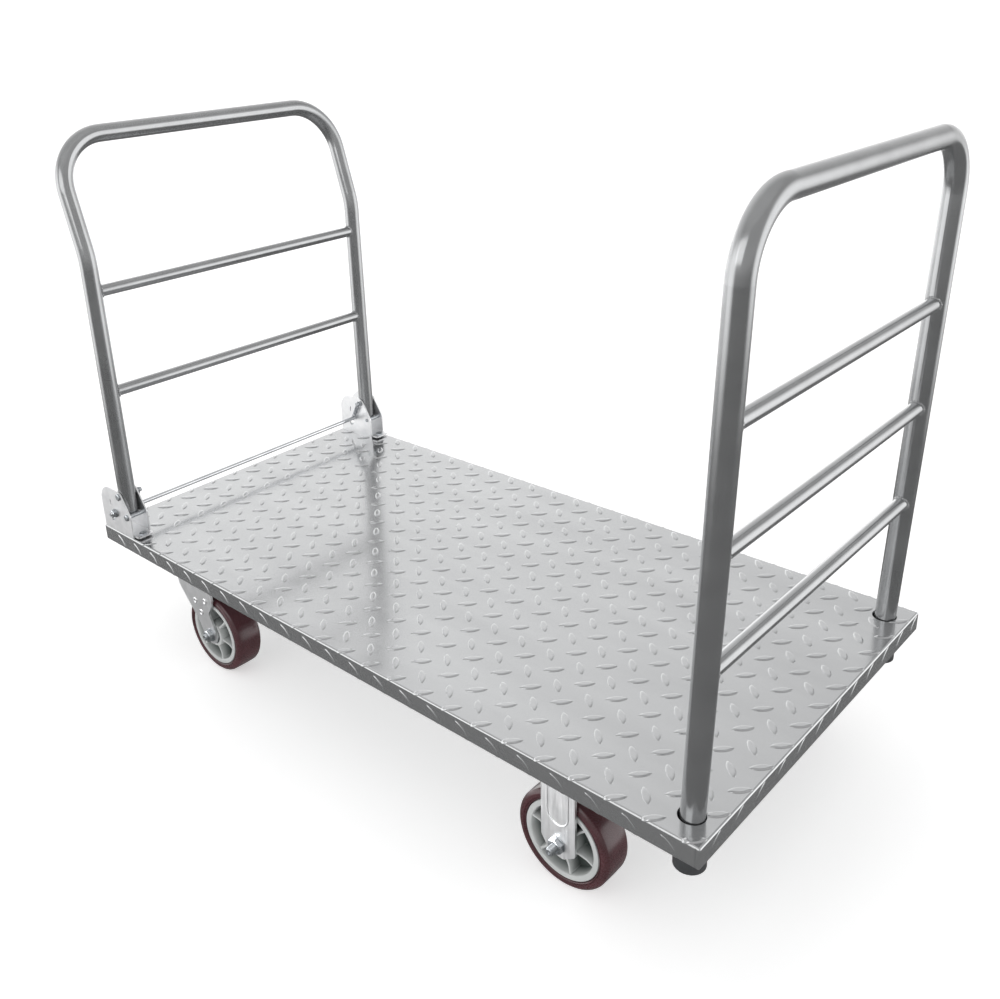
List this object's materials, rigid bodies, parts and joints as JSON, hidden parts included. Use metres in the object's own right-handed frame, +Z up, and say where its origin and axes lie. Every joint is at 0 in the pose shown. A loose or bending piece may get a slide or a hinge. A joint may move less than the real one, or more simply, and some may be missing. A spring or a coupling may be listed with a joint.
{
  "type": "flatbed platform truck",
  "caption": "Flatbed platform truck with a tread-plate deck, a folding handle, a lift-out handle, swivel casters at one end and rigid casters at the other.",
  "frame": {"origin": "on the floor under the middle of the deck", "axes": "+X along the deck towards the removable handle, +Y across the deck, +Z up"},
  "size_m": [1.204, 0.6188, 0.8959],
  "materials": {
    "deck_paint": "gloss silver-grey paint on pressed tread plate",
    "underframe_paint": "gloss grey paint on folded channel",
    "tube_paint": "gloss grey paint on welded tube",
    "socket_paint": "gloss grey paint on tube",
    "bracket_zinc": "bright zinc plate on pressed steel",
    "fork_zinc": "bright zinc plate on pressed steel",
    "fastener_zinc": "bright zinc plate on rolled thread and forged head",
    "rod_chrome": "chrome plated drawn rod",
    "bearing_steel": "ground bearing steel",
    "spring_steel": "zinc plated spring wire",
    "wheel_core": "light grey moulded plastic",
    "wheel_tread": "glossy maroon polyurethane"
  },
  "bodies": {
    "truck": {"bracket_bolts": "fastener_zinc", "bracket_nuts": "fastener_zinc", "caster_bolts": "fastener_zinc", "caster_nuts": "fastener_zinc", "cross_channel_middle": "underframe_paint", "cross_channel_rigid": "underframe_paint", "cross_channel_swivel": "underframe_paint", "deck_plate": "deck_paint", "handle_socket_far": "socket_paint", "handle_socket_near": "socket_paint", "hinge_bracket_far": "bracket_zinc", "hinge_bracket_near": "bracket_zinc", "kingpin_nuts": "fastener_zinc", "kingpins": "fastener_zinc", "lock_springs": "spring_steel", "pivot_pins": "fastener_zinc", "race_balls_far": "bearing_steel", "race_balls_near": "bearing_steel", "rigid_axle_far": "fastener_zinc", "rigid_axle_near": "fastener_zinc", "rigid_axle_nut_far": "fastener_zinc", "rigid_axle_nut_near": "fastener_zinc", "rigid_fork_far": "fork_zinc", "rigid_fork_near": "fork_zinc", "rigid_sleeve_far": "bearing_steel", "rigid_sleeve_near": "bearing_steel", "stop_pins": "fastener_zinc", "swivel_plate_far": "fork_zinc", "swivel_plate_near": "fork_zinc"},
    "folding_handle": {"folding_handle_bar_lower": "tube_paint", "folding_handle_bar_upper": "tube_paint", "folding_handle_loop": "tube_paint"},
    "lock_rod": {"lock_rod": "rod_chrome", "lock_rod_nuts": "fastener_zinc"},
    "removable_handle": {"removable_handle_bar_lower": "tube_paint", "removable_handle_bar_middle": "tube_paint", "removable_handle_bar_upper": "tube_paint", "removable_handle_loop": "tube_paint"},
    "swivel_caster_near": {"swivel_fork_near": "fork_zinc", "swivel_axle_near": "fastener_zinc", "swivel_axle_nut_near": "fastener_zinc", "swivel_sleeve_near": "bearing_steel"},
    "swivel_wheel_near": {"swivel_core_near": "wheel_core", "swivel_tread_near": "wheel_tread", "swivel_bearings_near": "bearing_steel"},
    "rigid_wheel_near": {"rigid_core_near": "wheel_core", "rigid_tread_near": "wheel_tread", "rigid_bearings_near": "bearing_steel"},
    "swivel_caster_far": {"swivel_fork_far": "fork_zinc", "swivel_axle_far": "fastener_zinc", "swivel_axle_nut_far": "fastener_zinc", "swivel_sleeve_far": "bearing_steel"},
    "swivel_wheel_far": {"swivel_core_far": "wheel_core", "swivel_tread_far": "wheel_tread", "swivel_bearings_far": "bearing_steel"},
    "rigid_wheel_far": {"rigid_core_far": "wheel_core", "rigid_tread_far": "wheel_tread", "rigid_bearings_far": "bearing_steel"}
  },
  "joints": [
    {"name": "handle_fold", "type": "hinge", "parent": "truck", "child": "folding_handle", "pos_m": [-0.5342, 0, 0.279], "axis": [0, 1, 0], "range_deg": [0, 90]},
    {"name": "lock_press", "type": "slide", "parent": "truck", "child": "lock_rod", "axis": [-0.5787, 0, -0.8155], "range_m": [0, 0.019], "stiffness_N_per_m": 800, "springref_m": -0.01, "deforming": ["lock_springs"]},
    {"name": "removable_lift", "type": "slide", "parent": "truck", "child": "removable_handle", "axis": [0.0298, 0, 0.9996], "range_m": [0, 0.1]},
    {"name": "swivel_turn_near", "type": "hinge", "parent": "truck", "child": "swivel_caster_near", "pos_m": [-0.383, -0.245, 0.157], "axis": [0, 0, 1], "continuous": true},
    {"name": "swivel_spin_near", "type": "hinge", "parent": "swivel_caster_near", "child": "swivel_wheel_near", "pos_m": [-0.341, -0.245, 0.07], "axis": [0, 1, 0], "continuous": true},
    {"name": "rigid_spin_near", "type": "hinge", "parent": "truck", "child": "rigid_wheel_near", "pos_m": [0.393, -0.245, 0.07], "axis": [0, 1, 0], "continuous": true},
    {"name": "swivel_turn_far", "type": "hinge", "parent": "truck", "child": "swivel_caster_far", "pos_m": [-0.383, 0.245, 0.157], "axis": [0, 0, 1], "continuous": true},
    {"name": "swivel_spin_far", "type": "hinge", "parent": "swivel_caster_far", "child": "swivel_wheel_far", "pos_m": [-0.341, 0.245, 0.07], "axis": [0, 1, 0], "continuous": true},
    {"name": "rigid_spin_far", "type": "hinge", "parent": "truck", "child": "rigid_wheel_far", "pos_m": [0.393, 0.245, 0.07], "axis": [0, 1, 0], "continuous": true}
  ]
}
